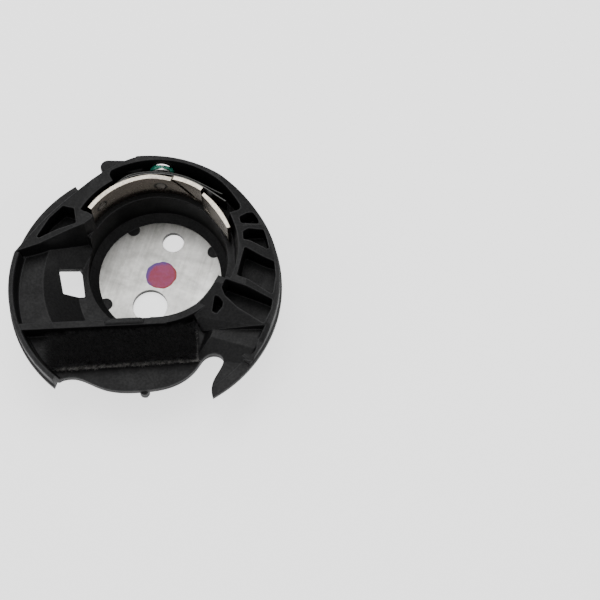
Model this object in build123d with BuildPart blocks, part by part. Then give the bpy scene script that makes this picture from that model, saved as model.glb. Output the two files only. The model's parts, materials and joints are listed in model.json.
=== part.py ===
"""Drop-in bobbin case for a sewing machine's horizontal rotary hook, in millimetres.

A moulded case holds the bobbin in a cup that sits off the centre of its round flange. The bobbin
turns on a steel base plate moulded into the cup. Sheet steel lines the cup's far wall, guides the
thread and, with a leaf spring set by a screw, gives it its tension. A strip of pile on the flange
keeps the thread from jumping out.

Frame: origin on the cup's axis at the underside of the base plate, +Z out of the open mouth,
+Y towards the springs, -Y towards the pile strip.
"""
from math import cos, radians, sin
import os

from build123d import *

# Overall size
FLANGE_RADIUS = 21.0
FLANGE_Y = -5.2
CASE_HEIGHT = 12.5

# Bobbin cup, measured from its own axis
BORE_RADIUS = 11.0
LEDGE_RADIUS = 9.7
LEDGE_TOP = 1.9
CUP_FOOT_RADIUS = 12.2
CUP_NECK_RADIUS = 12.8
CUP_FOOT_ROUND = 1.8
SEAT_LEVEL = 7.4
UPPER_BORE_RADIUS = 12.1
SIDE_WALL_RADIUS = 12.85
LINER_RECESS_RADIUS = 13.3

# Flange, measured from the flange's centre
UNDERSIDE = 7.0
FLOOR = 8.2
RAIL_BOTTOM = 7.5
RAIL_TOP = 8.5
DISC_RADIUS = 19.8
RIM_OUTER = 20.75
RIM_INNER_TOP = 19.95
RIM_INNER_FOOT = 19.5
RIM_TOP = 11.0
CHORD_WALL_TOP = 10.97
HUMP_TOP = 11.3
POCKET_FLOOR = 8.0
EDGE_ROUND = 0.15

# Spring housing
MOAT_OUTER = 15.0
MOAT_FLOOR = 6.8
MOAT_START = 43.8
MOAT_END = 137.5
MOAT_CORNER = 0.9

# Base plate
PLATE_THICKNESS = 0.9
PLATE_BOTTOM_RADIUS = 9.92
PLATE_TONGUE_RADIUS = 10.5
TONGUE_LOW = 0.3
TONGUE_HIGH = 0.6
PLATE_LOBE_RADIUS = 1.0
PLATE_LOBE_CENTRE = 9.55
BIG_HOLE_RADIUS = 2.74
BIG_HOLE_Y = -5.02
SMALL_HOLE_RADIUS = 1.7
SMALL_HOLE_Y = 6.51

# Thread guide plate and springs
GUIDE_INNER = 11.8
GUIDE_OUTER = 12.5
GUIDE_START = 30.0
GUIDE_END = 164.0
SLIT_TOP_ANGLE = 97.0
SLIT_FOOT_ANGLE = 78.0
NOTCH_END_ANGLE = 69.0
NECK_TOP = 8.1
SLIT_GAP = 0.5
SPRING_THICKNESS = 0.2
LEAF_BOTTOM = 8.3
LEAF_TOP = 11.6

# Adjusting screw and fixing screw, both on radial axes
SCREW_ANGLE = 104.5
SCREW_LEVEL = 9.8
SCREW_SHANK_RADIUS = 0.8
SCREW_HEAD_RADIUS = 1.7
SCREW_HEAD_START = 13.76
SCREW_HEAD_LENGTH = 0.85
SCREW_CLEARANCE = 0.04
DRIVER_HOLE_RADIUS = 1.3
FIXING_ANGLE = 153.0
FIXING_LEVEL = 10.2
FIXING_RADIUS = 0.8
FIXING_END = 15.2

# Pile strip on the flange
STRIP_LENGTH = 21.7
STRIP_WIDTH = 5.2
STRIP_ANGLE = 20.4
ADHESIVE_THICKNESS = 0.1
BACKING_THICKNESS = 0.3
PILE_HEIGHT = 1.9

FLANGE_CENTRE = (0, FLANGE_Y)
CUP_CENTRE = (0, 0)
ABOVE = CASE_HEIGHT + 2


def upright_plane(angle, centre=CUP_CENTRE):
    """Vertical plane through a centre: local x runs outwards at the angle, local y is +Z."""
    along = (cos(radians(angle)), sin(radians(angle)), 0)
    return Plane(origin=(*centre, 0), x_dir=along, z_dir=(along[1], -along[0], 0))


def radial_plane(angle, radius, level):
    """Plane square to the radius at an angle: its normal points away from the cup's axis."""
    outward = (cos(radians(angle)), sin(radians(angle)), 0)
    origin = (radius * outward[0], radius * outward[1], level)
    return Plane(origin=origin, x_dir=(-outward[1], outward[0], 0), z_dir=outward)


def turned(profile, start=0, end=360, centre=CUP_CENTRE, mode=Mode.ADD):
    """Turn a profile of (radius, height) points about a vertical axis between two angles."""
    with BuildSketch(upright_plane(start, centre)) as section:
        with BuildLine():
            Polyline(*profile, close=True)
        make_face()
    axis = Axis((*centre, 0), (0, 0, 1))
    revolve(section.sketch, axis=axis, revolution_arc=end - start, mode=mode)


def ring(inner, outer, low, high, start=0, end=360, centre=CUP_CENTRE, mode=Mode.ADD):
    """Turn a plain rectangular section."""
    turned([(inner, low), (outer, low), (outer, high), (inner, high)], start, end, centre, mode)


def plan_block(points, low, high, corner=0.0, mode=Mode.ADD):
    """Extrude a plan outline between two heights, with rounded corners if asked for."""
    with BuildSketch(Plane.XY.offset(low)) as outline:
        with BuildLine():
            if corner > 0:
                FilletPolyline(*points, radius=corner, close=True)
            else:
                Polyline(*points, close=True)
        make_face()
    extrude(outline.sketch, amount=high - low, mode=mode)


def side_block(points, plane, depth, mode=Mode.ADD):
    """Extrude an outline drawn on an upright plane."""
    with BuildSketch(plane) as outline:
        with BuildLine():
            Polyline(*points, close=True)
        make_face()
    extrude(outline.sketch, amount=depth, mode=mode)


def slope_cut(start, end, run, drop, level):
    """Shave the top from a level along a line: it drops away to the line's left over a run."""
    length = ((end[0] - start[0]) ** 2 + (end[1] - start[1]) ** 2) ** 0.5
    heading = ((end[0] - start[0]) / length, (end[1] - start[1]) / length)
    plane = Plane(origin=(*start, 0), x_dir=(-heading[1], heading[0], 0), z_dir=(*heading, 0))
    profile = [(0, level), (run, level - drop), (run + 3, level - drop), (run + 3, ABOVE), (0, ABOVE)]
    side_block(profile, plane, length, mode=Mode.SUBTRACT)


def radial_peg(angle, level, radius, start, end, mode=Mode.ADD):
    """A round bar or hole on a radial axis between two distances from the cup's axis."""
    with BuildSketch(radial_plane(angle, start, level)) as section:
        Circle(radius)
    extrude(section.sketch, amount=end - start, mode=mode)


def at(angle, radius, centre=CUP_CENTRE):
    """A plan point at an angle and a distance from a centre."""
    return (centre[0] + radius * cos(radians(angle)), centre[1] + radius * sin(radians(angle)))


def along(origin, angle, forward, sideways):
    """A point reached from an origin by going along a heading and then to its left."""
    ahead = at(angle, forward, origin)
    return at(angle + 90, sideways, ahead)


def leaf(inner_path, outer_path, low, high):
    """A strip of spring steel between two smooth plan curves given as (angle, radius) pairs."""
    inner = [at(angle, radius) for angle, radius in inner_path]
    outer = [at(angle, radius) for angle, radius in outer_path]
    with BuildSketch(Plane.XY.offset(low)) as outline:
        with BuildLine():
            Spline(*inner)
            Line(inner[-1], outer[-1])
            Spline(*outer)
            Line(outer[0], inner[0])
        make_face()
    extrude(outline.sketch, amount=high - low)


# ---------------------------------------------------------------- outlines of the moulding
# Straight wall that closes the open compartment and runs tangent to the cup
CHORD_ANGLE = 19.5
CHORD_FACE = 12.1
CHORD_THICKNESS = 1.05
CHORD_FOOT = along((0, 0), CHORD_ANGLE, 0, -CHORD_FACE)
CHORD_WALL = [
    along(CHORD_FOOT, CHORD_ANGLE, -21.0, 0),
    along(CHORD_FOOT, CHORD_ANGLE, 1.5, 0),
    along(CHORD_FOOT, CHORD_ANGLE, 1.5, CHORD_THICKNESS),
    along(CHORD_FOOT, CHORD_ANGLE, -21.0, CHORD_THICKNESS),
]
CHORD_HUMP = [
    along(CHORD_FOOT, CHORD_ANGLE, ahead, aside)
    for ahead, aside in ((-7.9, 0.8), (-6.8, 1.25), (-5.6, 1.65), (-4.3, 1.7), (-3.0, 1.4), (-1.7, 0.8))
]

# Wall between the corner block and the open compartment, from the rim to the cup
PARTITION_FACE = [(-20.6, -6.2), (-19.0, -5.2), (-17.3, -4.1), (-14.8, -2.0), (-11.6, 0.7)]
PARTITION_BACK = [(-10.8, 1.6), (-21.6, -4.2)]

# Block in the corner beside the spring housing: its outer wall is one long curve
BLOCK_CURVE = [(-7.5, 14.05), (-11.8, 9.9), (-14.0, 6.75), (-16.5, 2.9), (-19.2, -2.6), (-20.6, -6.2)]
BLOCK_POCKET = [(-18.3, -3.7), (-17.3, 0.4), (-15.9, 2.9), (-14.0, 2.85), (-12.8, 0.45), (-15.4, -1.2)]

# Rounded lug outside the corner block, which stops the case from turning in the machine
LUG_TIP = (-12.1, 12.3)
LUG_HEADING = 15.5
LUG_RADIUS = 1.15
LUG_LENGTH = 4.6
LUG_BOTTOM = 7.6
LUG_TOP = 10.0

# Pockets between the ribs that brace the cup against the rim
RIB_POCKETS = [
    [(10.8, 8.8), (11.6, 9.95), (12.45, 10.5), (13.4, 9.85), (14.0, 9.0), (11.4, 7.9)],
    [(12.1, 6.6), (12.75, 7.45), (14.95, 8.2), (15.7, 7.1), (16.9, 5.05), (13.7, 5.45), (12.6, 5.25)],
    [(13.2, 4.1), (16.2, 3.6), (18.1, 3.5), (19.0, 1.3), (19.5, -1.9), (15.7, -1.05), (13.55, -0.9)],
    [
        (12.1, -1.95),
        (16.3, -2.25),
        (19.75, -2.65),
        (19.95, -4.3),
        (19.65, -6.7),
        (15.05, -5.45),
        (12.7, -4.3),
        (11.9, -3.35),
    ],
]
DROP_POCKET = [(11.2, -4.65), (11.95, -4.75), (12.75, -5.3), (12.8, -6.0), (12.2, -7.15), (11.45, -6.95)]
EJECTOR_MARK = (15.9, 1.5)
EJECTOR_MARK_RADIUS = 1.0

# Window through the ramp of the open compartment
RAMP_WINDOW = [(-14.4, -5.35), (-11.6, -3.4), (-9.5, -7.75), (-12.5, -8.85)]

# Ramp of the open compartment: a cone about its own centre, with a level landing at the cup
RAMP_CENTRE = (0, -3.5)
RAMP_TOP_RADIUS = 16.35
RAMP_FOOT_RADIUS = 11.3
RAMP_FOOT = 4.1
BOWL_THICKNESS = 1.1

# Front of the flange: cut away between the tail of the rim and the pointed fang
FRONT_EDGE = [(-7.35, -22.95), (-5.4, -22.15), (-1.4, -22.5), (4.7, -21.3), (9.4, -18.7), (11.7, -15.1)]
NOTCH_TOP = [(12.2, -13.6), (13.1, -12.75), (14.1, -12.55), (15.0, -12.95), (15.2, -14.1)]
FANG_EDGE = [(14.75, -16.6), (14.9, -18.3), (15.45, -19.35)]
BEYOND_FRONT = [(15.45, -19.35), (17.5, -22.6), (17.5, -30), (-8.1, -30), (-7.85, -23.6), (-7.35, -22.95)]

# Ribs under the flange, each upright along a heading from the cup
GUSSET_HEADING = -20.5
GUSSET_THICKNESS = 1.3
BLADE_HEADING = -76.5
BLADE_THICKNESS = 0.8


def rib_plane(heading, thickness):
    """Upright plane along a heading from the cup's axis, set off by half a rib's thickness."""
    origin = at(heading + 90, thickness / 2)
    direction = (*at(heading, 1), 0)
    return Plane(origin=(*origin, 0), x_dir=direction, z_dir=(direction[1], -direction[0], 0))


# ---------------------------------------------------------------- cutters used by the moulding
with BuildPart() as cup_core:
    # Inside of the cup: the groove that grips the base plate, the ledge cone and the bore
    cup_inside = [
        (0, -1),
        (PLATE_BOTTOM_RADIUS, -1),
        (PLATE_BOTTOM_RADIUS, TONGUE_LOW),
        (PLATE_TONGUE_RADIUS, TONGUE_LOW),
        (PLATE_TONGUE_RADIUS, TONGUE_HIGH),
        (LEDGE_RADIUS, TONGUE_HIGH),
        (LEDGE_RADIUS, PLATE_THICKNESS),
        (BORE_RADIUS, LEDGE_TOP),
        (BORE_RADIUS, ABOVE),
        (0, ABOVE),
    ]
    turned(cup_inside)
    # Four lobes of the moulding stand in the notches of the base plate
    for quarter in range(4):
        lobe = at(45 + 90 * quarter, PLATE_LOBE_CENTRE)
        with BuildSketch(Plane.XY.offset(0.02)) as lobe_outline:
            with Locations(lobe):
                Circle(PLATE_LOBE_RADIUS)
        extrude(lobe_outline.sketch, amount=PLATE_THICKNESS - 0.05, mode=Mode.SUBTRACT)

with BuildPart() as compartment_cut:
    # Space over the floor and the ramp that leads down into the cup
    ramp = [
        (5.0, RAMP_FOOT),
        (RAMP_FOOT_RADIUS, RAMP_FOOT),
        (RAMP_TOP_RADIUS, FLOOR),
        (28.0, FLOOR),
        (28.0, ABOVE),
        (5.0, ABOVE),
    ]
    turned(ramp, 150, 280, RAMP_CENTRE)
    inside_rim = [
        (0, 0),
        (RIM_INNER_FOOT, 0),
        (RIM_INNER_FOOT, FLOOR),
        (RIM_INNER_TOP, RIM_TOP),
        (RIM_INNER_TOP, ABOVE),
        (0, ABOVE),
    ]
    turned(inside_rim, centre=FLANGE_CENTRE, mode=Mode.INTERSECT)
    region = PARTITION_FACE + [CHORD_WALL[2], CHORD_WALL[3], (-26.0, -16.0)]
    plan_block(region, 0, ABOVE, mode=Mode.INTERSECT)

with BuildPart() as bowl:
    # Material under the compartment, with the walls on either side of it
    shell = [
        (5.0, RAMP_FOOT - BOWL_THICKNESS),
        (RAMP_FOOT_RADIUS, RAMP_FOOT - BOWL_THICKNESS),
        (RAMP_TOP_RADIUS, UNDERSIDE),
        (RAMP_TOP_RADIUS, FLOOR),
        (5.0, FLOOR),
    ]
    turned(shell, 150, 280, RAMP_CENTRE)
    ring(BORE_RADIUS + 0.3, 30, -1, ABOVE, mode=Mode.INTERSECT)
    region = [PARTITION_BACK[1], PARTITION_BACK[0], CHORD_WALL[1], CHORD_WALL[0], (-26.0, -18.0)]
    plan_block(region, 0, ABOVE, mode=Mode.INTERSECT)

with BuildPart() as front_cut:
    # Everything beyond the front edge, with the notch beside the fang
    with BuildSketch() as beyond:
        with BuildLine():
            Spline(*FRONT_EDGE, *NOTCH_TOP, *FANG_EDGE)
            Polyline(*BEYOND_FRONT)
        make_face()
    extrude(amount=ABOVE)

with BuildPart() as platform:
    # Raised floor beside the last rib: slopes down to the pile strip and to the fang
    slope = [(7.0, 7.4), (7.0, 9.3), (10.4, 9.3), (13.8, FLOOR), (13.8, 7.4)]
    toward_front = Plane(origin=(20.8, 0, 0), x_dir=(0, -1, 0), z_dir=(-1, 0, 0))
    side_block(slope, toward_front, 10.0)
    profile = [(11.1, 7.4), (11.1, FLOOR), (12.3, 9.3), (20.8, 9.3), (20.8, 7.4)]
    toward_right = Plane(origin=(0, -6.0, 0), x_dir=(1, 0, 0), z_dir=(0, -1, 0))
    side_block(profile, toward_right, 10.0, mode=Mode.INTERSECT)
    ring(0, RIM_INNER_TOP, 0, ABOVE, centre=FLANGE_CENTRE, mode=Mode.INTERSECT)

with BuildPart() as hump:
    # Rounded swelling of the straight wall where the thread passes over it
    with BuildSketch(Plane.XY.offset(UNDERSIDE)) as hump_outline:
        with BuildLine():
            Spline(*CHORD_HUMP)
            Line(CHORD_HUMP[-1], along(CHORD_FOOT, CHORD_ANGLE, -1.9, 0.15))
            Line(along(CHORD_FOOT, CHORD_ANGLE, -1.9, 0.15), along(CHORD_FOOT, CHORD_ANGLE, -7.7, 0.15))
            Line(along(CHORD_FOOT, CHORD_ANGLE, -7.7, 0.15), CHORD_HUMP[0])
        make_face()
    extrude(hump_outline.sketch, amount=HUMP_TOP - UNDERSIDE)
    fillet(hump.faces().sort_by(Axis.Z)[-1].edges(), radius=0.3)

with BuildPart() as chord_wall:
    plan_block(CHORD_WALL, UNDERSIDE, CHORD_WALL_TOP)
    add(hump.part)
    ring(0, RIM_INNER_TOP + 0.2, 0, ABOVE, centre=FLANGE_CENTRE, mode=Mode.INTERSECT)

with BuildPart() as lug:
    # A round-ended bar that stands out past the flange, with its upper edge rounded
    with BuildSketch(Plane.XY.offset(LUG_BOTTOM)) as lug_outline:
        with Locations(Location((*along(LUG_TIP, LUG_HEADING, LUG_LENGTH / 2, 0), 0), (0, 0, LUG_HEADING))):
            SlotCenterToCenter(LUG_LENGTH, LUG_RADIUS * 2)
    extrude(lug_outline.sketch, amount=LUG_TOP - LUG_BOTTOM)
    fillet(lug.faces().sort_by(Axis.Z)[-1].edges(), radius=0.4)

with BuildPart() as moat:
    # Space for the springs, with its outer corners rounded
    middle = (MOAT_START + MOAT_END) / 2
    with BuildSketch(Plane.XY.offset(MOAT_FLOOR)) as moat_outline:
        with BuildLine():
            ThreePointArc(at(MOAT_START, MOAT_OUTER), at(middle, MOAT_OUTER), at(MOAT_END, MOAT_OUTER))
            Line(at(MOAT_END, MOAT_OUTER), at(MOAT_END, GUIDE_OUTER - 0.1))
            ThreePointArc(
                at(MOAT_END, GUIDE_OUTER - 0.1),
                at(middle, GUIDE_OUTER - 0.1),
                at(MOAT_START, GUIDE_OUTER - 0.1),
            )
            Line(at(MOAT_START, GUIDE_OUTER - 0.1), at(MOAT_START, MOAT_OUTER))
        make_face()
        fillet(moat_outline.vertices().sort_by_distance((0, 0, MOAT_FLOOR))[-2:], radius=MOAT_CORNER)
    extrude(moat_outline.sketch, amount=ABOVE - MOAT_FLOOR)

# ---------------------------------------------------------------- moulded case
with BuildPart() as case_body:
    # Cup: a plain pot with a rounded foot
    with BuildSketch(upright_plane(0)):
        with BuildLine():
            foot = CUP_FOOT_RADIUS - CUP_FOOT_ROUND
            Line((0, 0), (foot, 0))
            RadiusArc((foot, 0), (CUP_FOOT_RADIUS, CUP_FOOT_ROUND), -CUP_FOOT_ROUND)
            Line((CUP_FOOT_RADIUS, CUP_FOOT_ROUND), (CUP_NECK_RADIUS, UNDERSIDE))
            Line((CUP_NECK_RADIUS, UNDERSIDE), (CUP_NECK_RADIUS, SEAT_LEVEL))
            Line((CUP_NECK_RADIUS, SEAT_LEVEL), (0, SEAT_LEVEL))
            Line((0, SEAT_LEVEL), (0, 0))
        make_face()
    revolve(axis=Axis.Z)

    # Flange plate with the running rail round it
    flange_section = [
        (0, UNDERSIDE),
        (DISC_RADIUS - 0.25, UNDERSIDE),
        (DISC_RADIUS, UNDERSIDE + 0.25),
        (DISC_RADIUS + 0.1, RAIL_BOTTOM + 0.15),
        (DISC_RADIUS + 0.25, RAIL_BOTTOM),
        (FLANGE_RADIUS - EDGE_ROUND, RAIL_BOTTOM),
        (FLANGE_RADIUS, RAIL_BOTTOM + EDGE_ROUND),
        (FLANGE_RADIUS, RAIL_TOP - EDGE_ROUND),
        (FLANGE_RADIUS - EDGE_ROUND, RAIL_TOP),
        (RIM_INNER_FOOT, RAIL_TOP),
        (RIM_INNER_FOOT - 0.3, FLOOR),
        (0, FLOOR),
    ]
    turned(flange_section, centre=FLANGE_CENTRE)

    # Raised rim on the left and on the right
    rim_section = [
        (RIM_INNER_FOOT, FLOOR - 0.1),
        (RIM_OUTER, FLOOR - 0.1),
        (RIM_OUTER, RIM_TOP - EDGE_ROUND),
        (RIM_OUTER - EDGE_ROUND, RIM_TOP),
        (RIM_INNER_TOP + EDGE_ROUND, RIM_TOP),
        (RIM_INNER_TOP, RIM_TOP - EDGE_ROUND),
    ]
    turned(rim_section, 182.5, 256, FLANGE_CENTRE)
    turned(rim_section, -22, 58, FLANGE_CENTRE)

    # The fang's floor rises gently to its outer edge
    turned([(15.5, 8.0), (19.8, 8.0), (19.8, RAIL_TOP - 0.03), (15.5, 8.15)], -52, -19, FLANGE_CENTRE)

    # Slope from the fang's floor up to the rim
    turned([(18.4, FLOOR - 0.1), (20.3, FLOOR + 2.1), (20.3, FLOOR - 0.1)], -21, -6, FLANGE_CENTRE)

    # Underside of the spring housing, a cone between the cup and the flange
    turned([(11.5, 3.6), (12.4, 3.6), (16.2, UNDERSIDE + 0.1), (11.5, UNDERSIDE + 0.1)], 24, 152)

    # Solid sector for the spring housing and the ribs, up to full height
    with BuildSketch(Plane.XY.offset(UNDERSIDE)):
        with BuildLine():
            sector_top = at(60, RIM_OUTER, FLANGE_CENTRE)
            Polyline((-7.7, 14.05), (-6.0, 9.0), (0, 0), (10.8, -9.8), (20.45, -6.7))
            ThreePointArc((20.45, -6.7), sector_top, (-7.7, 14.05))
        make_face()
    extrude(amount=CASE_HEIGHT - UNDERSIDE)

    # The sector's top falls away to the lower rim on the right
    falling = [(15.6, CASE_HEIGHT), (20.2, RIM_TOP), (23.0, RIM_TOP), (23.0, ABOVE), (15.6, ABOVE)]
    turned(falling, -20, 50, FLANGE_CENTRE, mode=Mode.SUBTRACT)
    slope_cut(at(74, 20.9, FLANGE_CENTRE), at(50, 15.6, FLANGE_CENTRE), 4.44, 1.5, CASE_HEIGHT)
    # and slopes down towards the front, ever more steeply
    slope_cut((21.5, -2.9), (7.0, -2.9), 6.5, 2.54, CASE_HEIGHT - 0.1)
    slope_cut((19.35, -7.45), (9.6, -7.95), 1.9, 1.6, 10.55)
    slope_cut((23.5, -9.4), (17.2, -7.7), 5.6, 2.4, RIM_TOP)

    # Corner block
    with BuildSketch(Plane.XY.offset(UNDERSIDE)):
        with BuildLine():
            Spline(*BLOCK_CURVE)
            Polyline(*PARTITION_FACE, (-6.0, 9.0), BLOCK_CURVE[0])
        make_face()
    extrude(amount=CASE_HEIGHT - 0.03 - UNDERSIDE)
    slope_cut((-13.0, -8.0), (-13.0, 12.0), 7.6, 1.4, CASE_HEIGHT - 0.03)

    # Front wall of the cup and the straight wall that runs on from it
    ring(BORE_RADIUS - 0.5, UPPER_BORE_RADIUS, SEAT_LEVEL - 0.2, RIM_TOP, 285, 330)
    add(bowl.part)
    add(chord_wall.part)
    add(platform.part)

    # Inside of the cup: rim that grips the base plate, ledge cone and bore
    add(cup_core.part, mode=Mode.SUBTRACT)
    ring(BORE_RADIUS - 1, UPPER_BORE_RADIUS, SEAT_LEVEL, ABOVE, -9, 32, mode=Mode.SUBTRACT)
    widening = [
        (BORE_RADIUS, SEAT_LEVEL + 0.4),
        (UPPER_BORE_RADIUS + 0.1, SEAT_LEVEL + 0.4),
        (SIDE_WALL_RADIUS, CASE_HEIGHT),
        (SIDE_WALL_RADIUS, ABOVE),
        (BORE_RADIUS, ABOVE),
    ]
    turned(widening, -7.5, 44, mode=Mode.SUBTRACT)
    ring(BORE_RADIUS - 1, GUIDE_OUTER + 0.02, SEAT_LEVEL, ABOVE, GUIDE_START, GUIDE_END + 3,
         mode=Mode.SUBTRACT)

    # Spring housing: recess behind the guide plate, then the moat round the springs
    ring(GUIDE_OUTER - 0.1, LINER_RECESS_RADIUS, SEAT_LEVEL, ABOVE, MOAT_END - 1, GUIDE_END + 3.5,
         mode=Mode.SUBTRACT)
    add(moat.part, mode=Mode.SUBTRACT)
    radial_peg(SCREW_ANGLE, SCREW_LEVEL, DRIVER_HOLE_RADIUS, MOAT_OUTER - 0.5, 22, mode=Mode.SUBTRACT)
    radial_peg(FIXING_ANGLE, FIXING_LEVEL, FIXING_RADIUS, GUIDE_OUTER - 0.1, FIXING_END + 0.1,
               mode=Mode.SUBTRACT)

    # Pockets that thin the corner block and the ribs
    plan_block(BLOCK_POCKET, FLOOR, ABOVE, corner=0.3, mode=Mode.SUBTRACT)
    for pocket in RIB_POCKETS:
        plan_block(pocket, POCKET_FLOOR, ABOVE, corner=0.3, mode=Mode.SUBTRACT)
    plan_block(DROP_POCKET, POCKET_FLOOR, ABOVE, corner=0.2, mode=Mode.SUBTRACT)
    with BuildSketch(Plane.XY.offset(POCKET_FLOOR - 0.08)) as mark:
        with Locations(EJECTOR_MARK):
            Circle(EJECTOR_MARK_RADIUS)
    extrude(mark.sketch, amount=1, mode=Mode.SUBTRACT)

    # Open compartment, its ramp down to the cup and the window through the ramp
    add(compartment_cut.part, mode=Mode.SUBTRACT)
    plan_block(RAMP_WINDOW, 0, FLOOR + 0.5, corner=0.2, mode=Mode.SUBTRACT)

    # Gap in the rail beside the lug, outside the corner block
    ring(19.3, 23, 5, CASE_HEIGHT + 1, 128.2, 140.5, FLANGE_CENTRE, mode=Mode.SUBTRACT)
    add(lug.part)

    # Narrow slot through the floor beside the cup's wall
    ring(12.9, 13.45, 5, FLOOR + 0.1, 1, 14, mode=Mode.SUBTRACT)

    # Front edge, notch and fang
    add(front_cut.part, mode=Mode.SUBTRACT)

    # Ribs under the flange: a gusset beside the cup and a thin blade towards the front
    gusset = [(11.6, 1.6), (19.6, 7.2), (11.6, 7.2)]
    side_block(gusset, rib_plane(GUSSET_HEADING, GUSSET_THICKNESS), GUSSET_THICKNESS)
    blade = [(11.6, 2.0), (21.9, 5.3), (22.1, 7.2), (11.6, 7.2)]
    side_block(blade, rib_plane(BLADE_HEADING, BLADE_THICKNESS), BLADE_THICKNESS)
    with BuildSketch(Plane.XY.offset(5.6)) as blade_end:
        with Locations(at(BLADE_HEADING, 21.3)):
            Circle(BLADE_THICKNESS - 0.05)
    extrude(blade_end.sketch, amount=1.6)


# ---------------------------------------------------------------- steel base plate
with BuildPart() as base_plate:
    ring(0, PLATE_BOTTOM_RADIUS - 0.02, 0, TONGUE_LOW + 0.02)
    ring(0, PLATE_TONGUE_RADIUS - 0.02, TONGUE_LOW + 0.02, TONGUE_HIGH - 0.02)
    ring(0, LEDGE_RADIUS - 0.02, TONGUE_HIGH - 0.02, PLATE_THICKNESS)
    with BuildSketch() as plate_holes:
        with Locations((0, BIG_HOLE_Y)):
            Circle(BIG_HOLE_RADIUS)
        with Locations((0, SMALL_HOLE_Y)):
            Circle(SMALL_HOLE_RADIUS)
        for quarter in range(4):
            with Locations(at(45 + 90 * quarter, PLATE_LOBE_CENTRE)):
                Circle(PLATE_LOBE_RADIUS + 0.02)
    extrude(plate_holes.sketch, amount=PLATE_THICKNESS, mode=Mode.SUBTRACT)

# ---------------------------------------------------------------- thread guide plate
with BuildPart() as thread_guide_plate:
    ring(GUIDE_INNER, GUIDE_OUTER, SEAT_LEVEL + 0.02, CASE_HEIGHT, NOTCH_END_ANGLE + 2, GUIDE_END - 0.3)
    # The slanted slit that the thread is drawn through, ending in a small round hole
    slit_plane = radial_plane((SLIT_TOP_ANGLE + SLIT_FOOT_ANGLE) / 2, GUIDE_INNER - 1.5, 0)
    slit_reach = 12.2 * sin(radians((SLIT_TOP_ANGLE - SLIT_FOOT_ANGLE) / 2))
    slit = [
        (slit_reach + SLIT_GAP * 0.65, CASE_HEIGHT + 0.2),
        (slit_reach - SLIT_GAP * 0.65, CASE_HEIGHT + 0.2),
        (-slit_reach - SLIT_GAP, NECK_TOP + 0.3),
        (-slit_reach + SLIT_GAP, NECK_TOP + 0.3),
    ]
    side_block(slit, slit_plane, 3.5, mode=Mode.SUBTRACT)
    radial_peg(SLIT_FOOT_ANGLE, NECK_TOP + 0.35, 0.36, GUIDE_INNER - 1, GUIDE_OUTER + 1,
               mode=Mode.SUBTRACT)
    # Beside the slit the upper edge dips, so that the thread slides into it
    flare = [
        (slit_reach + 3.2, CASE_HEIGHT + 0.2),
        (slit_reach - 0.2, CASE_HEIGHT + 0.2),
        (slit_reach - 0.2, CASE_HEIGHT - 0.7),
        (slit_reach + 3.2, CASE_HEIGHT),
    ]
    side_block(flare, slit_plane, 3.5, mode=Mode.SUBTRACT)
    radial_peg(SCREW_ANGLE, SCREW_LEVEL, SCREW_SHANK_RADIUS + SCREW_CLEARANCE, GUIDE_INNER - 1,
               GUIDE_OUTER + 1, mode=Mode.SUBTRACT)
    radial_peg(FIXING_ANGLE, FIXING_LEVEL, FIXING_RADIUS + 0.01, GUIDE_INNER - 1, GUIDE_OUTER + 1,
               mode=Mode.SUBTRACT)

# ---------------------------------------------------------------- thread exit plate
with BuildPart() as thread_exit_plate:
    # A flatter leaf that stands in front of the housing's right end
    leaf(
        [(68.0, 11.3), (49.0, 11.1), (32.5, 11.55)],
        [(68.0, 11.85), (49.0, 11.85), (32.5, 12.05)],
        SEAT_LEVEL + 0.02,
        CASE_HEIGHT,
    )
    with BuildSketch(radial_plane(62.5, 10.5, 8.7)) as thread_eye:
        SlotOverall(1.3, 0.5)
    extrude(thread_eye.sketch, amount=2.5, mode=Mode.SUBTRACT)

# ---------------------------------------------------------------- tension spring and pressure leaf
with BuildPart() as tension_spring:
    inner = [(159.0, 12.66), (146.0, 12.6), (136.0, 12.72), (127.0, 13.1), (117.0, 13.1), (100.0, 12.95),
             (84.0, 12.85), (70.0, 12.85), (62.0, 13.0), (54.0, 13.45)]
    outer = [(angle, radius + SPRING_THICKNESS) for angle, radius in inner]
    leaf(inner, outer, LEAF_BOTTOM, LEAF_TOP)
    radial_peg(SCREW_ANGLE, SCREW_LEVEL, SCREW_SHANK_RADIUS + 0.35, 12, 15, mode=Mode.SUBTRACT)
    radial_peg(FIXING_ANGLE, FIXING_LEVEL, FIXING_RADIUS + 0.03, 12, 15, mode=Mode.SUBTRACT)

with BuildPart() as pressure_leaf:
    inner = [(158.5, 12.95), (146.0, 12.89), (136.0, 13.03), (127.0, 13.55), (117.0, 13.55), (104.5, 13.4),
             (90.0, 13.3), (76.0, 13.25), (68.0, 13.4), (60.0, 13.9)]
    outer = [(angle, radius + SPRING_THICKNESS) for angle, radius in inner]
    leaf(inner, outer, LEAF_BOTTOM + 0.3, LEAF_TOP - 0.3)
    radial_peg(SCREW_ANGLE, SCREW_LEVEL, SCREW_SHANK_RADIUS + 0.2, 12, 15, mode=Mode.SUBTRACT)
    radial_peg(FIXING_ANGLE, FIXING_LEVEL, FIXING_RADIUS + 0.03, 12, 15, mode=Mode.SUBTRACT)

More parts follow.
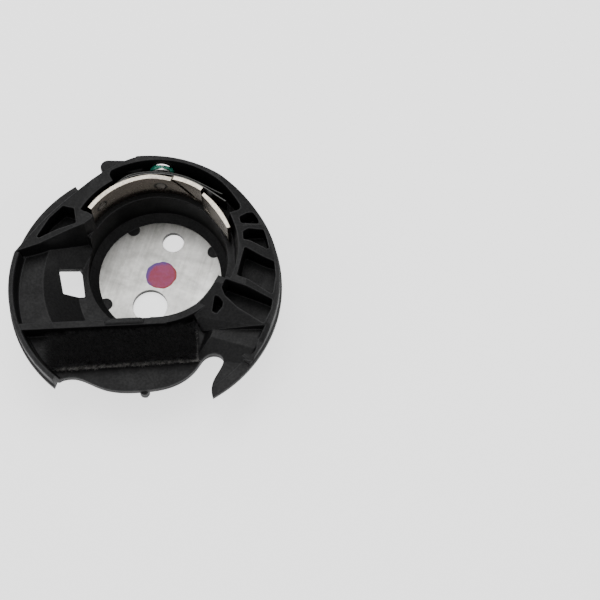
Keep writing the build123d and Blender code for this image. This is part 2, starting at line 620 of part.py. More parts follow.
# ---------------------------------------------------------------- screws
with BuildPart() as adjusting_screw:
    radial_peg(SCREW_ANGLE, SCREW_LEVEL, SCREW_SHANK_RADIUS, GUIDE_INNER, SCREW_HEAD_START + 0.1)
    radial_peg(SCREW_ANGLE, SCREW_LEVEL, SCREW_HEAD_RADIUS, SCREW_HEAD_START,
               SCREW_HEAD_START + SCREW_HEAD_LENGTH)
    # Screwdriver slot across the head
    head_end = radial_plane(SCREW_ANGLE, SCREW_HEAD_START + SCREW_HEAD_LENGTH - 0.4, SCREW_LEVEL)
    with BuildSketch(head_end) as slot:
        Rectangle(4, 0.45)
    extrude(slot.sketch, amount=1, mode=Mode.SUBTRACT)

with BuildPart() as fixing_screw:
    radial_peg(FIXING_ANGLE, FIXING_LEVEL, FIXING_RADIUS - 0.01, GUIDE_INNER, FIXING_END)
    # Screwdriver slot in the flush end that faces the bobbin
    flush_end = radial_plane(FIXING_ANGLE, GUIDE_INNER - 0.5, FIXING_LEVEL)
    with BuildSketch(flush_end) as slot:
        Rectangle(4, 0.3)
    extrude(slot.sketch, amount=0.8, mode=Mode.SUBTRACT)

# ---------------------------------------------------------------- pile strip
STRIP_FRONT_LEFT = (-8.75, -21.95)
STRIP_CENTRE = along(STRIP_FRONT_LEFT, STRIP_ANGLE, STRIP_LENGTH / 2, STRIP_WIDTH / 2)


def strip(length, width, low, height, corner):
    """One layer of the strip, centred on it."""
    with BuildSketch(Plane.XY.offset(low)) as outline:
        with Locations(Location((*STRIP_CENTRE, 0), (0, 0, STRIP_ANGLE))):
            RectangleRounded(length, width, corner)
    extrude(outline.sketch, amount=height)


with BuildPart() as strip_adhesive:
    strip(STRIP_LENGTH - 0.2, STRIP_WIDTH - 0.2, FLOOR, ADHESIVE_THICKNESS, 0.3)

with BuildPart() as strip_backing:
    strip(STRIP_LENGTH, STRIP_WIDTH, FLOOR + ADHESIVE_THICKNESS, BACKING_THICKNESS, 0.3)

with BuildPart() as strip_pile:
    pile_base = FLOOR + ADHESIVE_THICKNESS + BACKING_THICKNESS
    strip(STRIP_LENGTH - 0.4, STRIP_WIDTH - 0.4, pile_base, PILE_HEIGHT, 0.4)

# ---------------------------------------------------------------- one file for each piece
PIECES = {
    "case_body": case_body,
    "base_plate": base_plate,
    "thread_guide_plate": thread_guide_plate,
    "thread_exit_plate": thread_exit_plate,
    "tension_spring": tension_spring,
    "pressure_leaf": pressure_leaf,
    "adjusting_screw": adjusting_screw,
    "fixing_screw": fixing_screw,
    "strip_adhesive": strip_adhesive,
    "strip_backing": strip_backing,
    "strip_pile": strip_pile,
}
os.makedirs("parts", exist_ok=True)
for name, piece in PIECES.items():
    piece.part.label = name
    export_step(piece.part, f"parts/{name}.step")
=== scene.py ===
import json
import math

import bpy
import numpy as np
from mathutils import Matrix, Vector


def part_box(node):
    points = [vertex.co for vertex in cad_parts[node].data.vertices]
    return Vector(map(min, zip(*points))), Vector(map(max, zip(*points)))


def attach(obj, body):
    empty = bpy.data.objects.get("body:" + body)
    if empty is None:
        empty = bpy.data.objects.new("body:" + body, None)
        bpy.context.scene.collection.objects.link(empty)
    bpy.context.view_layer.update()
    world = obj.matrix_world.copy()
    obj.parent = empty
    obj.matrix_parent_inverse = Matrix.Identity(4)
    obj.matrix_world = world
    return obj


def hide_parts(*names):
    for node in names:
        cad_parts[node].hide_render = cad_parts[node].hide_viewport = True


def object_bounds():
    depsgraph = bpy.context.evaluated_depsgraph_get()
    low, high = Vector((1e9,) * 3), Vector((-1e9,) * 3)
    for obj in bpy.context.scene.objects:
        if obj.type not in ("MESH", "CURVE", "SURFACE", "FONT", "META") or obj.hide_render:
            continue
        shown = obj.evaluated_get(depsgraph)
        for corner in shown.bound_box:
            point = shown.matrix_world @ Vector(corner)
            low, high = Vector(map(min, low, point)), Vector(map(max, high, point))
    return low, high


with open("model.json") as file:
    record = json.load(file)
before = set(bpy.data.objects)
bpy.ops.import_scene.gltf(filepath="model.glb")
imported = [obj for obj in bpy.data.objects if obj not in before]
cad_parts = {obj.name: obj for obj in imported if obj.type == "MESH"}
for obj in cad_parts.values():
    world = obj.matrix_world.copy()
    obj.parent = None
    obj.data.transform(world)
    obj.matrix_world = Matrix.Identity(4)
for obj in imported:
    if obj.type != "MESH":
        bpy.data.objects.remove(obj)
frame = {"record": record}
start_lo, start_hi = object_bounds()
MM = 0.001


# ------------------------------------------------------------------ camera
# On the sensor, in mm
SENSOR_WIDTH = 36.0
LENS = 109.08
TARGET_LEFT, TARGET_ABOVE = 9.06, 0.462

# In the scene
CAMERA_TARGET = Vector((0, -4.45, 4.94)) * MM
CAMERA_DISTANCE = 283.8 * MM


def add_camera():
    """A long lens, high and to the right of the case, with the case in the left of the view."""
    azimuth, elevation, roll = map(math.radians, (29.9, 65.6, -12.25))
    back = Vector((
        math.sin(azimuth) * math.cos(elevation),
        -math.cos(azimuth) * math.cos(elevation),
        math.sin(elevation),
    ))
    level = Vector((math.cos(azimuth), math.sin(azimuth), 0))
    upright = back.cross(level)
    right = math.cos(roll) * level + math.sin(roll) * upright
    up = back.cross(right)
    place = CAMERA_TARGET + back * CAMERA_DISTANCE
    ahead = (-back * LENS + right * TARGET_LEFT - up * TARGET_ABOVE).normalized()
    right = ahead.cross(up).normalized()
    up = right.cross(ahead)
    data = bpy.data.cameras.new("camera")
    data.sensor_width = SENSOR_WIDTH
    data.lens = LENS
    data.clip_start, data.clip_end = 0.01, 10.0
    camera = bpy.data.objects.new("camera", data)
    bpy.context.scene.collection.objects.link(camera)
    camera.matrix_world = Matrix.Translation(place) @ Matrix((right, up, -ahead)).transposed().to_4x4()
    bpy.context.scene.camera = camera


add_camera()


# ------------------------------------------------------------------ floor and light
FLOOR_HALF = 600 * MM
LAMP_TARGET = Vector((0, -4, 6)) * MM
# Place, width, height and power of each lamp
LAMPS = {
    "overhead": (Vector((-50, 120, 340)) * MM, 240 * MM, 200 * MM, 0.42),
    "left": (Vector((-320, -60, 200)) * MM, 200 * MM, 200 * MM, 0.2),
    "right": (Vector((300, 120, 160)) * MM, 140 * MM, 200 * MM, 0.12),
}


def add_floor():
    """A pale floor just under the case."""
    mesh = bpy.data.meshes.new("floor")
    corners = [(x * FLOOR_HALF, y * FLOOR_HALF, 0) for x, y in ((-1, -1), (1, -1), (1, 1), (-1, 1))]
    mesh.from_pydata(corners, [], [(0, 1, 2, 3)])
    floor = bpy.data.objects.new("floor", mesh)
    floor.location.z = start_lo.z - 0.02 * MM
    bpy.context.scene.collection.objects.link(floor)
    paint = bpy.data.materials.new("floor_white")
    paint.use_nodes = True
    bsdf = paint.node_tree.nodes["Principled BSDF"]
    bsdf.inputs["Base Color"].default_value = (0.93, 0.93, 0.93, 1)
    bsdf.inputs["Roughness"].default_value = 0.9
    bsdf.inputs["Emission Color"].default_value = (1, 1, 1, 1)
    bsdf.inputs["Emission Strength"].default_value = 1.5
    mesh.materials.append(paint)


def add_lamp(name, place, width, height, power):
    data = bpy.data.lights.new(name, "AREA")
    data.shape = "RECTANGLE"
    data.size, data.size_y = width, height
    data.energy = power
    light = bpy.data.objects.new(name, data)
    light.location = place
    light.rotation_mode = "QUATERNION"
    light.rotation_quaternion = (LAMP_TARGET - place).to_track_quat("-Z", "Y")
    bpy.context.scene.collection.objects.link(light)


def add_lights():
    """Soft white light from all round, and the lamps."""
    world = bpy.data.worlds.new("studio")
    world.use_nodes = True
    background = world.node_tree.nodes["Background"]
    background.inputs["Color"].default_value = (1, 1, 1, 1)
    background.inputs["Strength"].default_value = 0.62
    bpy.context.scene.world = world
    for name, settings in LAMPS.items():
        add_lamp(name, *settings)


add_floor()
add_lights()


# ------------------------------------------------------------------ materials
UPWARD = (0, 0, 1)
GRIME_RADIUS = 0.88 * MM


class Paint:
    """A small helper for writing node materials in object coordinates."""

    def __init__(self, name):
        self.material = bpy.data.materials.new(name)
        self.material.use_nodes = True
        self.tree = self.material.node_tree
        self.bsdf = self.tree.nodes["Principled BSDF"]
        texture = self.node("ShaderNodeTexCoord")
        self.coords = texture.outputs["Object"]
        self.normal = texture.outputs["Normal"]

    def node(self, kind, **settings):
        made = self.tree.nodes.new(kind)
        for key, value in settings.items():
            setattr(made, key, value)
        return made

    def put(self, socket, value):
        if isinstance(value, bpy.types.NodeSocket):
            self.tree.links.new(value, socket)
        elif isinstance(value, tuple) and len(value) == 3 and socket.type == "RGBA":
            socket.default_value = (*value, 1)
        else:
            socket.default_value = value

    def set(self, **values):
        for key, value in values.items():
            self.put(self.bsdf.inputs[key.replace("_", " ")], value)

    def stretch(self, scale, turn=0.0):
        """Object coordinates, scaled and then turned about the vertical."""
        mapping = self.node("ShaderNodeMapping")
        self.put(mapping.inputs["Vector"], self.coords)
        mapping.inputs["Scale"].default_value = scale
        mapping.inputs["Rotation"].default_value = (0, 0, turn)
        return mapping.outputs["Vector"]

    def noise(self, scale, detail=3.0, roughness=0.5, vector=None, distortion=0.0):
        made = self.node("ShaderNodeTexNoise")
        self.put(made.inputs["Vector"], vector or self.coords)
        made.inputs["Scale"].default_value = scale
        made.inputs["Detail"].default_value = detail
        made.inputs["Roughness"].default_value = roughness
        made.inputs["Distortion"].default_value = distortion
        return made.outputs["Fac"]

    def cells(self, scale):
        made = self.node("ShaderNodeTexVoronoi")
        self.put(made.inputs["Vector"], self.coords)
        made.inputs["Scale"].default_value = scale
        return made.outputs["Distance"]

    def remap(self, value, low, high, to_low=0.0, to_high=1.0):
        made = self.node("ShaderNodeMapRange")
        self.put(made.inputs["Value"], value)
        made.inputs["From Min"].default_value = low
        made.inputs["From Max"].default_value = high
        made.inputs["To Min"].default_value = to_low
        made.inputs["To Max"].default_value = to_high
        return made.outputs["Result"]

    def math(self, operation, a, b=0.0):
        made = self.node("ShaderNodeMath", operation=operation)
        self.put(made.inputs[0], a)
        self.put(made.inputs[1], b)
        return made.outputs["Value"]

    def plus(self, a, b):
        return self.math("ADD", a, b)

    def minus(self, a, b):
        return self.math("SUBTRACT", a, b)

    def times(self, a, b):
        return self.math("MULTIPLY", a, b)

    def absolute(self, a):
        return self.math("ABSOLUTE", a)

    def dot(self, a, b):
        made = self.node("ShaderNodeVectorMath", operation="DOT_PRODUCT")
        self.put(made.inputs[0], a)
        self.put(made.inputs[1], b)
        return made.outputs["Value"]

    def distance(self, place, vector=None):
        made = self.node("ShaderNodeVectorMath", operation="DISTANCE")
        self.put(made.inputs[0], vector or self.coords)
        self.put(made.inputs[1], place)
        return made.outputs["Value"]

    def mix(self, share, a, b):
        made = self.node("ShaderNodeMix", data_type="RGBA")
        self.put(made.inputs["Factor"], share)
        self.put(made.inputs["A"], a)
        self.put(made.inputs["B"], b)
        return made.outputs["Result"]

    def bump(self, height, distance, strength, normal=None):
        made = self.node("ShaderNodeBump")
        self.put(made.inputs["Height"], height)
        made.inputs["Distance"].default_value = distance
        made.inputs["Strength"].default_value = strength
        if normal:
            self.put(made.inputs["Normal"], normal)
        return made.outputs["Normal"]

    def soft_edges(self, radius):
        made = self.node("ShaderNodeBevel", samples=6)
        made.inputs["Radius"].default_value = radius
        return made.outputs["Normal"]


def plastic():
    """Black moulded plastic with a fine spark-eroded grain, softened edges and a painted highlight along
    them.
    """
    p = Paint("case_plastic")
    grain = p.plus(p.noise(5200, 2.0, 0.6), p.times(p.cells(3600), 0.6))
    cloud = p.remap(p.noise(160, 3.0), 0.3, 0.7)
    moulded = p.mix(cloud, (0.0052, 0.0052, 0.0056), (0.0092, 0.0092, 0.0096))
    pitted = p.remap(p.noise(3000, 2.0, 0.7), 0.36, 0.64, 0.78, 1.25)
    # Edges are painted a little lighter as a painted highlight: the softened normal leaves the true one
    # there
    soft = p.soft_edges(0.34 * MM)
    apart = p.dot(soft, p.node("ShaderNodeNewGeometry").outputs["Normal"])
    edge_highlight = p.remap(apart, 1.0, 0.93)
    # Faces along the draw of the mould are smoother and darker than the level ones
    level = p.remap(p.absolute(p.dot(p.normal, UPWARD)), 0.25, 0.7)
    shine = p.times(p.remap(level, 0.0, 1.0, 0.1, 0.25), pitted)
    p.set(
        Base_Color=p.mix(p.times(edge_highlight, 0.9), moulded, (0.024, 0.024, 0.025)),
        Roughness=p.remap(p.noise(420, 4.0), 0.3, 0.7, 0.42, 0.56),
        Specular_IOR_Level=p.plus(shine, p.times(p.times(edge_highlight, level), 0.2)),
        Normal=p.bump(grain, 0.01 * MM, 0.7, soft),
    )
    return p.material


def rolled_steel():
    """Plain steel plate: rolling marks one way, scuffs, a faint mottle, specks, dark cut edges and painted
    shading from side to side.
    """
    p = Paint("plate_steel")
    lines = p.noise(1100, 5.0, 0.65, p.stretch((1, 0.04, 1), 0.4))
    scuffs = p.noise(300, 6.0, 0.7, p.stretch((0.2, 1, 1), -0.8), 0.6)
    mottle = p.noise(950, 5.0, 0.7)
    cloud = p.noise(110, 3.0, 0.5)
    specks = p.remap(p.noise(2400, 2.0, 0.5), 0.7, 0.76)
    tone = p.plus(p.times(lines, 0.5), p.times(mottle, 0.5))
    # Painted shading: the side nearer the ribs is painted lighter and the far side darker
    wear_and_painted_shade = p.remap(p.dot(p.coords, (1, -0.6, 0)), -11 * MM, 11 * MM, -0.07, 0.07)
    shade = p.plus(p.plus(p.times(tone, 0.6), p.times(cloud, 0.4)), wear_and_painted_shade)
    sheet = p.mix(p.remap(shade, 0.38, 0.62), (0.37, 0.365, 0.345), (0.71, 0.705, 0.68))
    marked = p.mix(p.times(specks, 0.5), sheet, (0.16, 0.15, 0.14))
    flat = p.remap(p.absolute(p.dot(p.normal, UPWARD)), 0.3, 0.7)
    p.set(
        Base_Color=p.mix(flat, (0.02, 0.02, 0.019), marked),
        Metallic=1.0,
        Roughness=p.remap(scuffs, 0.3, 0.7, 0.34, 0.5),
        Normal=p.bump(tone, 0.012 * MM, 0.6, p.soft_edges(0.08 * MM)),
    )
    return p.material


def inner_end(name):
    """Middle of the end of a screw that faces the bobbin."""
    points = [v.co for v in bpy.data.objects[name].data.vertices]
    nearest = min(p.xy.length for p in points)
    ends = [p for p in points if p.xy.length < nearest + 0.12 * MM]
    return sum(ends, Vector()) / len(ends)


def guide_steel(name="guide_steel", rough=(0.2, 0.34), face=(0.17, 0.148, 0.125), edge=(0.68, 0.62, 0.52)):
    """Spring steel: dull, faintly brown faces with hairlines and oil, and bright sheared edges; faces that
    point up take the edge colour as a painted highlight and the rest the darker face colour as painted
    shade.
    """
    p = Paint(name)
    hair = p.noise(1500, 4.0, 0.6, p.stretch((1, 1, 0.08)))
    smear = p.noise(420, 5.0, 0.6)
    nicks = p.remap(p.noise(1900, 5.0, 0.75, p.stretch((1, 1, 0.5)), 1.2), 0.66, 0.72)
    scored = p.remap(p.noise(2600, 4.0, 0.7, p.stretch((1, 1, 0.2))), 0.35, 0.62)
    sheared_edge_highlight = p.mix(scored, tuple(0.62 * c for c in edge), edge)
    dull = p.mix(p.remap(smear, 0.3, 0.7), face, tuple(1.35 * c for c in face))
    wear_and_painted_shade = p.mix(p.times(nicks, 0.75), dull, (0.03, 0.027, 0.024))
    # Grime gathers in ragged rings round the ends of the two screws
    for screw in ("adjusting_screw", "fixing_screw"):
        ragged = p.plus(p.distance(inner_end(screw)), p.times(p.minus(smear, 0.5), 0.4 * MM))
        off = p.absolute(p.minus(ragged, GRIME_RADIUS))
        wear_and_painted_shade = p.mix(p.remap(off, 0.26 * MM, 0.1 * MM, 0.0, 0.85), wear_and_painted_shade, (0.012, 0.011, 0.01))
    # Painted highlight and painted shade: faces that point up get the bright edge colour, the others keep
    # the darker face colour
    upward = p.remap(p.dot(p.normal, UPWARD), 0.35, 0.85)
    p.set(
        Base_Color=p.mix(upward, wear_and_painted_shade, sheared_edge_highlight),
        Metallic=1.0,
        Roughness=p.remap(smear, 0.3, 0.7, *rough),
        Normal=p.bump(hair, 0.002 * MM, 0.15, p.soft_edges(0.12 * MM)),
    )
    return p.material


def cloth(name, dark, light):
    """Cloth woven both ways at a slant to the case."""
    p = Paint(name)
    warp = p.noise(5000, 2.0, 0.5, p.stretch((1, 0.25, 1), 0.35))
    weft = p.noise(5000, 2.0, 0.5, p.stretch((0.25, 1, 1), 0.35))
    weave = p.times(warp, weft)
    p.set(
        Base_Color=p.mix(p.remap(weave, 0.15, 0.4), dark, light),
        Roughness=0.95,
        Normal=p.bump(weave, 0.04 * MM, 0.8),
    )
    return p.material


def film():
    """Pale adhesive film under the strip."""
    p = Paint("adhesive")
    ripple = p.noise(900, 4.0)
    p.set(
        Base_Color=p.mix(ripple, (0.25, 0.24, 0.22), (0.4, 0.39, 0.36)),
        Roughness=p.remap(ripple, 0.3, 0.7, 0.3, 0.5),
    )
    return p.material


def fibre_paint(name, dark, light, scale, rough):
    """Yarn or pile fibres, darker and lighter in patches."""
    p = Paint(name)
    p.set(
        Base_Color=p.mix(p.remap(p.noise(scale, 2.0, 0.6), 0.35, 0.65), dark, light),
        Roughness=p.remap(p.noise(scale * 0.5, 2.0), 0.3, 0.7, rough - 0.1, rough + 0.1),
        Specular_IOR_Level=0.35,
    )
    return p.material


def dot_paint(centre):
    """Pink paint with a redder rim, turning violet at its left."""
    p = Paint("dot_paint")
    blotch = p.noise(700, 5.0, 0.65, distortion=0.5)
    fine = p.noise(2600, 3.0, 0.6)
    plan = p.stretch((1, 1, 0))
    # Beyond a ragged arc round a point right of the middle, the dab is violet
    far = p.plus(p.distance((0.5 * MM, 0.3 * MM, 0), plan), p.times(p.minus(blotch, 0.5), 1.2 * MM))
    violet = p.remap(far, 2.1 * MM, 2.6 * MM)
    out = p.plus(p.distance(centre, plan), p.times(blotch, 0.3 * MM))
    rim = p.remap(out, 2.15 * MM, 2.45 * MM)
    pink = p.mix(p.remap(blotch, 0.35, 0.65), (0.47, 0.022, 0.09), (0.5, 0.05, 0.2))
    body = p.mix(violet, pink, (0.15, 0.055, 0.4))
    edged = p.mix(p.times(rim, p.minus(1.0, violet)), body, (0.5, 0.035, 0.02))
    p.set(
        Base_Color=p.mix(p.remap(fine, 0.35, 0.8, 0.0, 0.15), edged, (0.6, 0.25, 0.36)),
        Roughness=p.remap(fine, 0.3, 0.7, 0.35, 0.55),
        Normal=p.bump(blotch, 0.02 * MM, 0.6),
    )
    return p.material


def green_paint():
    """Locking paint, darker where it is thin."""
    p = Paint("green_paint")
    thin = p.noise(3000, 4.0, 0.6)
    p.set(
        Base_Color=p.mix(p.remap(thin, 0.35, 0.65), (0.0, 0.07, 0.045), (0.02, 0.3, 0.2)),
        Roughness=p.remap(thin, 0.3, 0.7, 0.15, 0.35),
        Normal=p.bump(thin, 0.03 * MM, 0.6),
    )
    return p.material


FINISHES = {
    "case_body": plastic(),
    "base_plate": rolled_steel(),
    "thread_guide_plate": guide_steel(),
    "thread_exit_plate": guide_steel("exit_plate_steel"),
    "tension_spring": guide_steel("spring_steel", (0.26, 0.4), (0.06, 0.06, 0.06), (0.1, 0.1, 0.098)),
    "pressure_leaf": guide_steel("leaf_steel", (0.26, 0.4), (0.05, 0.05, 0.05), (0.06, 0.06, 0.058)),
    "adjusting_screw": guide_steel("screw_steel", (0.25, 0.4), (0.2, 0.185, 0.165), (0.7, 0.69, 0.67)),
    "fixing_screw": guide_steel("fixing_steel", (0.25, 0.4), (0.2, 0.18, 0.155), (0.5, 0.48, 0.45)),
    "strip_adhesive": film(),
    "strip_backing": cloth("backing_cloth", (0.05, 0.05, 0.05), (0.3, 0.3, 0.29)),
    "strip_pile": cloth("pile", (0.003, 0.003, 0.003), (0.012, 0.012, 0.012)),
}


def finish_nodes():
    """Each CAD piece gets its one finish."""
    for name, material in FINISHES.items():
        node = bpy.data.objects[name]
        node.data.materials.clear()
        node.data.materials.append(material)
        for polygon in node.data.polygons:
            polygon.material_index = 0


finish_nodes()


# ------------------------------------------------------------------ pieces built here
def mesh_piece(name, verts, faces, material, body="case"):
    """One smooth-shaded piece that moves with a body."""
    mesh = bpy.data.meshes.new(name)
    mesh.from_pydata([tuple(v) for v in verts], [], [tuple(int(i) for i in f) for f in faces])
    mesh.materials.append(material)
    mesh.polygons.foreach_set("use_smooth", [True] * len(mesh.polygons))
    piece = bpy.data.objects.new(name, mesh)
    bpy.context.scene.collection.objects.link(piece)
    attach(piece, body)
    return piece


def bands(rows, columns, joined=False):
    """Quads between rows of points that run round in rings. Joined, the last row meets the first."""
    quads = []
    for row in range(rows if joined else rows - 1):
        low, high = row * columns, (row + 1) % rows * columns
        for column in range(columns):
            following = (column + 1) % columns
            quads.append((low + column, low + following, high + following, high + column))
    return quads


def hairs(roots, tips, bends, radii, sides=3, rings=4):
    """Tapered, bent fibres from roots to tips. Each is one open tube closed by its point."""
    count = len(roots)
    along = tips - roots
    length = np.linalg.norm(along, axis=1, keepdims=True)
    heading = along / length
    helper = np.where(np.abs(heading[:, 2:3]) > 0.9, np.array([[1.0, 0, 0]]), np.array([[0, 0, 1.0]]))
    side = np.cross(heading, helper)
    side /= np.linalg.norm(side, axis=1, keepdims=True)
    other = np.cross(heading, side)
    verts = np.zeros((count, sides * rings + 1, 3))
    for ring in range(rings):
        share = ring / rings
        centre = roots + along * share + bends * (4 * share * (1 - share))
        width = radii * (1 - 0.55 * share)
        for corner in range(sides):
            turn = 2 * math.pi * corner / sides
            outward = math.cos(turn) * side + math.sin(turn) * other
            verts[:, ring * sides + corner] = centre + width * outward
    verts[:, -1] = tips
    last = (rings - 1) * sides
    points = [(last + corner, last + (corner + 1) % sides, rings * sides) for corner in range(sides)]
    first = np.arange(count)[:, None, None] * (sides * rings + 1)
    quads = (np.array(bands(rings, sides)) + first).reshape(-1, 4)
    triangles = (np.array(points) + first).reshape(-1, 3)
    return verts.reshape(-1, 3), quads.tolist() + triangles.tolist()


def strip_frame():
    """The pile strip's front-left corner, its length and depth directions, its size and its levels."""
    verts = np.array([v.co for v in bpy.data.objects["strip_pile"].data.vertices])
    flat = verts[:, :2]
    middle = (flat.max(0) + flat.min(0)) / 2

    def box_along(angle):
        along = np.array([math.cos(angle), math.sin(angle)])
        across = np.array([-along[1], along[0]])
        return np.ptp(flat @ along), np.ptp(flat @ across), along, across

    # Of all the boxes round the strip, the smallest one has its sides along the strip's own
    boxes = [box_along(angle) for angle in np.radians(np.arange(0, 90, 0.25))]
    length, depth, along, across = min(boxes, key=lambda box: box[0] * box[1])
    if length < depth:
        along, across, length, depth = across, -along, depth, length
    if along[0] < 0:
        along, across = -along, -across
    if across[1] < 0:
        across = -across
    corner = middle - along * length / 2 - across * depth / 2
    return corner, along, across, length, depth, verts[:, 2].min(), verts[:, 2].max()


CORNER, ALONG, ACROSS, LENGTH, DEPTH, PILE_FOOT, PILE_TOP = strip_frame()
PILE_RISE = PILE_TOP - PILE_FOOT


def on_strip(s, t, z):
    """Points on the strip: s runs along it and t from its front edge to its back, in metres."""
    s, t, z = np.broadcast_arrays(s, t, z)
    flat = CORNER + np.outer(s.ravel(), ALONG) + np.outer(t.ravel(), ACROSS)
    return np.column_stack([flat, z.ravel()])


def near(distance, reach):
    """1 at an edge, falling to 0 at a reach from it."""
    return np.clip(1 - distance / reach, 0, 1)


def pile_base():
    """The felted foot of the pile: a thick layer with an uneven top, closed all round."""
    rng = np.random.default_rng(1)
    inset, rough = 0.3 * MM, 0.09 * MM
    columns, rows = 120, 30
    s, t = np.meshgrid(np.linspace(inset, LENGTH - inset, columns + 1),
                       np.linspace(inset, DEPTH - inset, rows + 1))
    s = s + rng.normal(0, rough * 0.4, s.shape)
    t = t + rng.normal(0, rough * 0.4, t.shape)
    top = on_strip(s, t, PILE_FOOT + PILE_RISE * 0.55 + rng.normal(0, rough, s.shape))
    bottom = on_strip(s, t, PILE_FOOT)
    count, step = len(top), columns + 1
    faces = []
    for row in range(rows):
        for column in range(columns):
            a = row * step + column
            faces.append((a, a + 1, a + step + 1, a + step))
            faces.append((count + a, count + a + step, count + a + step + 1, count + a + 1))
    front = list(range(columns))
    right = [columns + row * step for row in range(rows)]
    back = [rows * step + columns - column for column in range(columns)]
    left = [(rows - row) * step for row in range(rows)]
    edge = front + right + back + left
    for a, b in zip(edge, edge[1:] + edge[:1]):
        faces.append((a, count + a, count + b, b))
    return mesh_piece("pile_base", np.vstack([top, bottom]), faces, FINISHES["strip_pile"])


def pile():
    """Short dark fibres standing close together, leaning outwards at the strip's edges."""
    rng = np.random.default_rng(7)
    count = 22000
    s = rng.uniform(0.2 * MM, LENGTH - 0.2 * MM, count)
    t = rng.uniform(0.1 * MM, DEPTH - 0.1 * MM, count)
    # A clumped lean, so that tufts show
    clump = np.sin(s * 5200 + 3 * np.sin(t * 4100)) * np.cos(t * 4700 + 2 * np.sin(s * 2900))
    height = PILE_RISE * rng.uniform(0.72, 1.12, count) * (1 + 0.1 * clump)
    outward_s = 0.5 * near(LENGTH - s, 0.9 * MM) - near(s, 1.5 * MM)
    outward_t = 0.25 * near(DEPTH - t, 0.8 * MM) - 0.25 * near(t, 0.7 * MM)
    lean_s = rng.normal(0, 0.24, count) + 0.25 * clump + outward_s - 0.1
    lean_t = rng.normal(0, 0.24, count) + 0.2 * np.roll(clump, 1) + outward_t
    roots = on_strip(s, t, PILE_FOOT + 0.1 * MM)
    tips = on_strip(s + lean_s * height, t + lean_t * height, PILE_FOOT + height)
    sway_s = rng.normal(0, 0.08 * MM, count)
    sway_t = rng.normal(0, 0.08 * MM, count)
    bends = on_strip(sway_s, sway_t, 0.0) - on_strip(0.0, 0.0, 0.0)
    radii = rng.uniform(0.022 * MM, 0.04 * MM, (count, 1))
    verts, faces = hairs(roots, tips, bends, radii)
    paint = fibre_paint("pile_black", (0.001, 0.001, 0.0012), (0.036, 0.036, 0.037), 3400, 0.75)
    made = mesh_piece("pile_fibres", verts, faces, paint)
    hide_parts("strip_pile")
    base = pile_base()


def bows(rng, count, sideways, upward):
    """How far each yarn end bows away from a straight line: either way in plan, and upwards."""
    in_x = rng.normal(0, sideways, count)
    in_y = rng.normal(0, sideways, count)
    return np.column_stack([in_x, in_y, np.abs(rng.normal(0, upward, count))])


def front_yarn(rng, foot, rise):
    """Looped ends of light yarn along the front edge."""
    count = 2600
    s = rng.uniform(-0.1 * MM, LENGTH + 0.1 * MM, count)
    knot = 0.5 + 0.5 * np.sin(s * 9000 + 1.7 * np.sin(s * 2300))
    t = rng.normal(-0.1 * MM, 0.12 * MM, count) - 0.1 * MM * knot
    z = foot + rise * rng.uniform(0.2, 1.7, count) + 0.12 * MM * knot
    sideways = rng.normal(0, 0.28 * MM, count)
    outward = -rng.uniform(0.0, 0.3 * MM, count)
    end = np.maximum(z + rng.normal(-0.05 * MM, 0.14 * MM, count), foot)
    roots = on_strip(s, t + 0.25 * MM, z)
    tips = on_strip(s + sideways, t + outward, end)
    bends = bows(rng, count, 0.06 * MM, 0.1 * MM)
    radii = rng.uniform(0.03 * MM, 0.06 * MM, (count, 1))
    verts, faces = hairs(roots, tips, bends, radii)
    paint = fibre_paint("selvage_grey", (0.035, 0.034, 0.033), (0.24, 0.235, 0.225), 1800, 0.9)
    return mesh_piece("selvage_front", verts, faces, paint)


def left_ends(rng, foot, rise):
    """Thinner, darker ends at the left, some of them long."""
    count = 650
    t = rng.uniform(0, DEPTH, count)
    s = rng.normal(0.0, 0.1 * MM, count)
    reach = rng.gamma(2.0, 0.32 * MM, count)
    z = foot + rise * rng.uniform(0.3, 1.6, count)
    roots = on_strip(s + 0.3 * MM, t, z)
    drift = rng.normal(0, 0.3 * MM, count)
    end = np.maximum(z + rng.normal(0, 0.2 * MM, count), foot)
    tips = on_strip(s - reach, t + drift, end)
    bends = bows(rng, count, 0.08 * MM, 0.12 * MM)
    radii = rng.uniform(0.018 * MM, 0.04 * MM, (count, 1))
    verts, faces = hairs(roots, tips, bends, radii)
    paint = fibre_paint("selvage_dark", (0.012, 0.012, 0.012), (0.13, 0.13, 0.125), 1500, 0.9)
    return mesh_piece("selvage_left", verts, faces, paint)


def selvage():
    """The backing cloth's frayed front edge and left end."""
    rng = np.random.default_rng(11)
    lo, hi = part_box("strip_backing")
    front = front_yarn(rng, lo.z, hi.z - lo.z)
    left = left_ends(rng, lo.z, hi.z - lo.z)


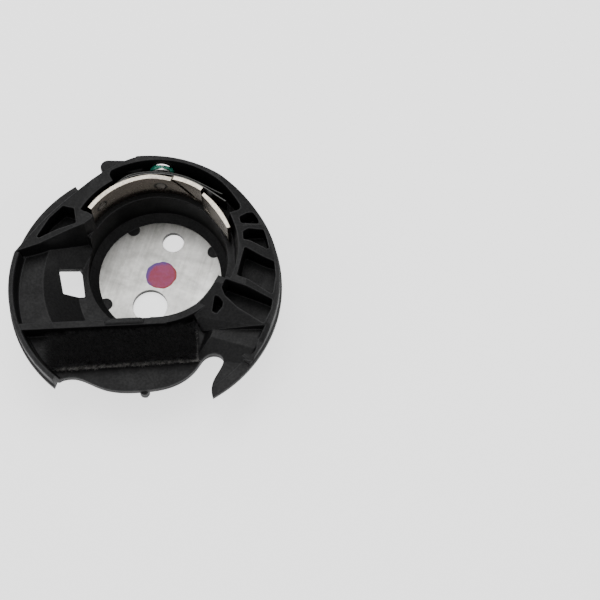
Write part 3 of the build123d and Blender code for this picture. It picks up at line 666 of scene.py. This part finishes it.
def paint_dot():
    """An inspector's dab of pink paint on the base plate, thin and a little uneven."""
    plate_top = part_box("base_plate")[1].z
    rings, spokes = 14, 72
    centre = Vector((0, 0.5, 0)) * MM
    mean_radius = 2.45 * MM
    verts = []
    for ring in range(rings + 1):
        share = ring / rings
        # The paint thins towards its edge and stands up in a faint lip just inside it
        lip = math.exp(-((share - 0.9) / 0.06) ** 2)
        dome = 0.035 * MM * (1 - share ** 6) + 0.012 * MM * lip
        for spoke in range(spokes):
            turn = 2 * math.pi * spoke / spokes
            wander = 0.03 * math.sin(2 * turn + 0.6) + 0.018 * math.sin(5 * turn)
            edge = mean_radius * (1 + wander + 0.01 * math.sin(11 * turn + 1))
            height = plate_top + dome * (0.85 + 0.15 * math.sin(3 * turn + 4 * share))
            if ring == rings:
                height = plate_top - 0.01 * MM
            outward = Vector((math.cos(turn), math.sin(turn)))
            verts.append((*(centre.xy + edge * share * outward), height))
    faces = [(a, d, c, b) for a, b, c, d in bands(rings + 1, spokes)]
    mesh_piece("paint_dot", verts, faces, dot_paint(centre))


def locking_paint():
    """A ring of green paint, thick and thin, round the outer edge of the adjusting screw's head."""
    screw = bpy.data.objects["adjusting_screw"]
    joint = next(j for j in frame["record"]["behaviour"]["joints"] if j["child"] == "screw")
    axis = Vector(joint["axis"]).normalized()
    pivot = Vector(joint["pos_m"])
    points = [v.co - pivot for v in screw.data.vertices]
    end = max(p.dot(axis) for p in points)
    radius = max((p - axis * p.dot(axis)).length for p in points)
    centre = pivot + axis * (end - 0.34 * MM)
    side = axis.cross(Vector(UPWARD)).normalized()
    up = side.cross(axis).normalized()
    steps, around = 150, 10
    stretch = 2.1
    verts = []
    for step in range(steps):
        turn = 2 * math.pi * step / steps
        swell = 1 + 0.35 * math.sin(3 * turn + 1) + 0.25 * math.sin(7 * turn) + 0.15 * math.sin(16 * turn)
        thick = 0.15 * MM * min(max(swell, 0.3), 1.3)
        radial = side * math.cos(turn) + up * math.sin(turn)
        middle = centre + radial * (radius + 0.02 * MM)
        for corner in range(around):
            roll = 2 * math.pi * corner / around
            wide = thick * (1 + 0.15 * math.sin(5 * roll + 9 * turn))
            verts.append(middle + (radial * math.cos(roll) + axis * stretch * math.sin(roll)) * wide)
    mesh_piece("locking_paint", verts, bands(steps, around, joined=True), green_paint(), body="screw")


pile()
selvage()
paint_dot()
locking_paint()
